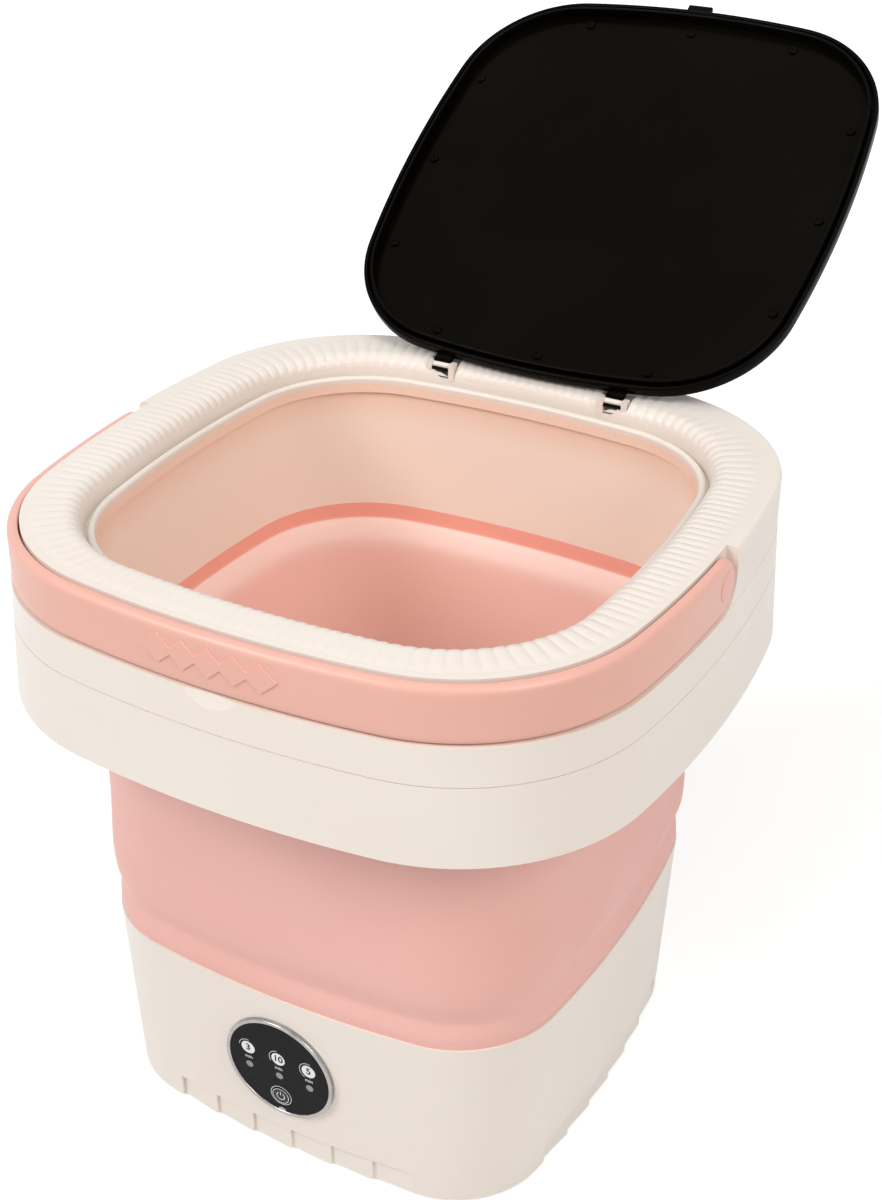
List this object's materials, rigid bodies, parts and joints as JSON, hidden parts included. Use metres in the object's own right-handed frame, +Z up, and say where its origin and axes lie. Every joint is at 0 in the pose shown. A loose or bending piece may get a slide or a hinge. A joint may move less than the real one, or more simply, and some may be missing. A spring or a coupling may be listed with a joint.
{
  "type": "foldable washing machine",
  "caption": "Small collapsible washing machine: a wide housing that slides down over a narrower base on a soft bellows, with a hinged lid, a carrying bail and a pulsator.",
  "frame": {"origin": "on the table, under the centre of the base, in the plane of the rubber feet", "axes": "+Z up, -Y towards the front with the control panel, +X to the right seen from the front; at rest the bellows is extended, the lid is open on its stop and the bail lies down round the front"},
  "size_m": [0.3264, 0.5042, 0.4678],
  "materials": {
    "cream_plastic": "satin",
    "pink_plastic": "satin",
    "pink_rubber": "satin",
    "black_gloss": "gloss",
    "silver_ring": "polished",
    "panel_black": "gloss",
    "lens_white": "satin",
    "lens_grey": "satin",
    "key_black": "gloss",
    "white_plastic": "satin",
    "inner_white": "satin",
    "foot_rubber": "matte",
    "seal_rubber": "matte",
    "screw_steel": "satin",
    "shaft_steel": "satin",
    "bush_brass": "satin",
    "gear_white": "satin",
    "case_grey": "satin",
    "motor_steel": "satin",
    "board_green": "satin",
    "switch_black": "matte",
    "lamp_clear": "gloss",
    "lead_red": "satin",
    "lead_black": "satin"
  },
  "bodies": {
    "base": {"bellows": "pink_rubber", "base_shell": "cream_plastic", "bottom_cover": "white_plastic", "rubber_feet": "foot_rubber", "bottom_screws": "screw_steel", "tub_floor": "inner_white", "tub_screws": "screw_steel", "shaft_seal": "seal_rubber", "gearbox_case": "case_grey", "gearbox_plate": "case_grey", "gearbox_screws": "screw_steel", "upper_bush": "bush_brass", "lower_bush": "bush_brass", "motor_can": "motor_steel", "motor_screws": "screw_steel", "panel_bezel": "silver_ring", "panel_disc": "panel_black", "time_lenses": "lens_white", "led_lenses": "lens_grey", "control_board": "board_green", "board_screws": "screw_steel", "led_lamps": "lamp_clear", "switch_body": "switch_black", "dc_socket": "switch_black", "dc_nut": "screw_steel", "drain_elbow": "white_plastic", "motor_leads": "lead_red", "supply_leads": "lead_black"},
    "housing": {"rim_cover": "cream_plastic", "inner_wall": "cream_plastic", "skirt_ring": "cream_plastic", "upper_clamp": "white_plastic", "clamp_screws": "screw_steel", "skirt_screws": "screw_steel", "wall_screws": "screw_steel"},
    "lid": {"lid": "black_gloss"},
    "handle": {"handle": "pink_plastic", "pivot_washers": "screw_steel", "pivot_screws": "screw_steel"},
    "pulsator": {"pulsator": "inner_white", "pulsator_screw": "screw_steel", "pulsator_cap": "inner_white", "output_shaft": "shaft_steel", "drive_gear": "gear_white", "shaft_clip": "shaft_steel"},
    "rotor": {"motor_shaft": "shaft_steel", "motor_pinion": "gear_white"},
    "power_button": {"power_button": "key_black", "switch_stem": "white_plastic"},
    "drain_plug": {"drain_plug": "foot_rubber"}
  },
  "joints": [
    {"name": "fold", "type": "slide", "parent": "base", "child": "housing", "axis": [0, 0, 1], "range_m": [-0.118, 0], "deforming": ["bellows"]},
    {"name": "lid_hinge", "type": "hinge", "parent": "housing", "child": "lid", "pos_m": [0, 0.1282, 0.3202], "axis": [1, 0, 0], "range_deg": [0, 146.4]},
    {"name": "handle_hinge", "type": "hinge", "parent": "housing", "child": "handle", "pos_m": [0, -0.001, 0.30675], "axis": [-1, 0, 0], "range_deg": [0, 90]},
    {"name": "pulsator_spin", "type": "hinge", "parent": "base", "child": "pulsator", "pos_m": [0, 0, 0.06], "axis": [0, 0, 1], "continuous": true},
    {"name": "rotor_spin", "type": "hinge", "parent": "base", "child": "rotor", "pos_m": [-0.03712, 0.03712, 0.06], "axis": [0, 0, 1], "continuous": true},
    {"name": "power_key", "type": "slide", "parent": "base", "child": "power_button", "axis": [0, 0.9988, 0.0486], "range_m": [0, 0.0008], "stiffness_N_per_m": 500, "springref_m": -0.0004},
    {"name": "drain_pull", "type": "slide", "parent": "base", "child": "drain_plug", "axis": [0, 1, 0], "range_m": [0, 0.012]}
  ],
  "couplings": [
    {"joint": "rotor_spin", "follows": "pulsator_spin", "ratio": -5}
  ]
}
